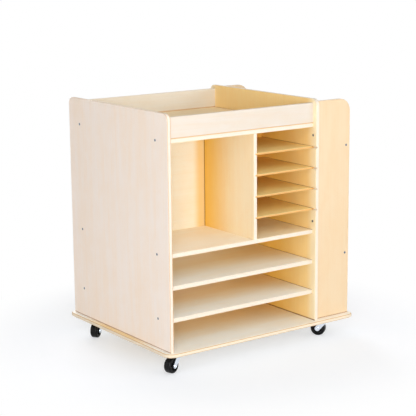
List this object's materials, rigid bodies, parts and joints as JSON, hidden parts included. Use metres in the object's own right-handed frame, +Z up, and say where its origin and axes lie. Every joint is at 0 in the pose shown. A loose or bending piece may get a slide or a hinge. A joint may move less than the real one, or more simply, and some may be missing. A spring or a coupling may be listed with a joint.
{
  "type": "mobile craft paper storage cart",
  "caption": "Birch plywood cart on swivel casters: tray top, cubby beside narrow paper slots with slide-out boards, wide sheet bays below and an end bay between two wings.",
  "frame": {"origin": "on the floor under the middle of the base board", "axes": "+Z up, +X towards the wings, +Y towards the back; the front faces -Y"},
  "size_m": [0.861, 0.696, 0.9125],
  "materials": {
    "birch_plywood": "satin clear varnish",
    "thin_birch_plywood": "satin clear varnish",
    "rod_wood": "satin clear varnish",
    "dowel_wood": "bare",
    "screw_steel": "zinc plated",
    "caster_steel": "bright nickel plated",
    "wheel_core_plastic": "black moulded",
    "tyre_rubber": "black"
  },
  "bodies": {
    "cabinet": {"base_board": "birch_plywood", "left_side_panel": "birch_plywood", "right_side_panel": "birch_plywood", "top_panel": "birch_plywood", "middle_shelf": "birch_plywood", "large_paper_shelf_1": "birch_plywood", "large_paper_shelf_2": "birch_plywood", "front_tray_rail": "birch_plywood", "back_tray_rail": "birch_plywood", "centre_panel": "birch_plywood", "front_divider": "birch_plywood", "rear_divider": "birch_plywood", "front_wing": "birch_plywood", "back_wing": "birch_plywood", "upper_bay_rod": "rod_wood", "lower_bay_rod": "rod_wood", "left_panel_screws": "screw_steel", "right_panel_screws": "screw_steel", "wing_edge_screws": "screw_steel", "rod_screws": "screw_steel", "base_screws": "screw_steel", "front_divider_dowels": "dowel_wood", "rear_divider_dowels": "dowel_wood", "centre_panel_dowels": "dowel_wood", "rail_dowels": "dowel_wood", "caster_screws": "caster_steel", "kingpins": "caster_steel", "swivel_balls": "caster_steel", "front_left_caster_plate": "caster_steel", "front_right_caster_plate": "caster_steel", "back_left_caster_plate": "caster_steel", "back_right_caster_plate": "caster_steel"},
    "front_left_swivel": {"front_left_fork": "caster_steel", "front_left_axle": "caster_steel"},
    "front_left_wheel": {"front_left_wheel_core": "wheel_core_plastic", "front_left_tyre": "tyre_rubber"},
    "front_right_swivel": {"front_right_fork": "caster_steel", "front_right_axle": "caster_steel"},
    "front_right_wheel": {"front_right_wheel_core": "wheel_core_plastic", "front_right_tyre": "tyre_rubber"},
    "back_left_swivel": {"back_left_fork": "caster_steel", "back_left_axle": "caster_steel"},
    "back_left_wheel": {"back_left_wheel_core": "wheel_core_plastic", "back_left_tyre": "tyre_rubber"},
    "back_right_swivel": {"back_right_fork": "caster_steel", "back_right_axle": "caster_steel"},
    "back_right_wheel": {"back_right_wheel_core": "wheel_core_plastic", "back_right_tyre": "tyre_rubber"},
    "front_paper_shelf_1": {"front_paper_shelf_1": "thin_birch_plywood"},
    "front_paper_shelf_2": {"front_paper_shelf_2": "thin_birch_plywood"},
    "front_paper_shelf_3": {"front_paper_shelf_3": "thin_birch_plywood"},
    "front_paper_shelf_4": {"front_paper_shelf_4": "thin_birch_plywood"},
    "rear_paper_shelf_1": {"rear_paper_shelf_1": "thin_birch_plywood"},
    "rear_paper_shelf_2": {"rear_paper_shelf_2": "thin_birch_plywood"},
    "rear_paper_shelf_3": {"rear_paper_shelf_3": "thin_birch_plywood"},
    "rear_paper_shelf_4": {"rear_paper_shelf_4": "thin_birch_plywood"}
  },
  "joints": [
    {"name": "front_left_swivel_turn", "type": "hinge", "parent": "cabinet", "child": "front_left_swivel", "pos_m": [-0.3685, -0.294, 0.0655], "axis": [0, 0, 1], "continuous": true},
    {"name": "front_left_wheel_roll", "type": "hinge", "parent": "front_left_swivel", "child": "front_left_wheel", "pos_m": [-0.39105, -0.30221, 0.028], "axis": [0.342, -0.9397, 0], "continuous": true},
    {"name": "front_right_swivel_turn", "type": "hinge", "parent": "cabinet", "child": "front_right_swivel", "pos_m": [0.3205, -0.294, 0.0655], "axis": [0, 0, 1], "continuous": true},
    {"name": "front_right_wheel_roll", "type": "hinge", "parent": "front_right_swivel", "child": "front_right_wheel", "pos_m": [0.30673, -0.27434, 0.028], "axis": [-0.8192, -0.5736, 0], "continuous": true},
    {"name": "back_left_swivel_turn", "type": "hinge", "parent": "cabinet", "child": "back_left_swivel", "pos_m": [-0.3685, 0.229, 0.0655], "axis": [0, 0, 1], "continuous": true},
    {"name": "back_left_wheel_roll", "type": "hinge", "parent": "back_left_swivel", "child": "back_left_wheel", "pos_m": [-0.38741, 0.21422, 0.028], "axis": [0.6157, -0.788, 0], "continuous": true},
    {"name": "back_right_swivel_turn", "type": "hinge", "parent": "cabinet", "child": "back_right_swivel", "pos_m": [0.3205, 0.229, 0.0655], "axis": [0, 0, 1], "continuous": true},
    {"name": "back_right_wheel_roll", "type": "hinge", "parent": "back_right_swivel", "child": "back_right_wheel", "pos_m": [0.29795, 0.23721, 0.028], "axis": [-0.342, -0.9397, 0], "continuous": true},
    {"name": "front_paper_shelf_1_slide", "type": "slide", "parent": "cabinet", "child": "front_paper_shelf_1", "axis": [0, -1, 0], "range_m": [0, 0.2]},
    {"name": "front_paper_shelf_2_slide", "type": "slide", "parent": "cabinet", "child": "front_paper_shelf_2", "axis": [0, -1, 0], "range_m": [0, 0.2]},
    {"name": "front_paper_shelf_3_slide", "type": "slide", "parent": "cabinet", "child": "front_paper_shelf_3", "axis": [0, -1, 0], "range_m": [0, 0.2]},
    {"name": "front_paper_shelf_4_slide", "type": "slide", "parent": "cabinet", "child": "front_paper_shelf_4", "axis": [0, -1, 0], "range_m": [0, 0.2]},
    {"name": "rear_paper_shelf_1_slide", "type": "slide", "parent": "cabinet", "child": "rear_paper_shelf_1", "axis": [0, 1, 0], "range_m": [0, 0.2]},
    {"name": "rear_paper_shelf_2_slide", "type": "slide", "parent": "cabinet", "child": "rear_paper_shelf_2", "axis": [0, 1, 0], "range_m": [0, 0.2]},
    {"name": "rear_paper_shelf_3_slide", "type": "slide", "parent": "cabinet", "child": "rear_paper_shelf_3", "axis": [0, 1, 0], "range_m": [0, 0.2]},
    {"name": "rear_paper_shelf_4_slide", "type": "slide", "parent": "cabinet", "child": "rear_paper_shelf_4", "axis": [0, 1, 0], "range_m": [0, 0.2]}
  ]
}
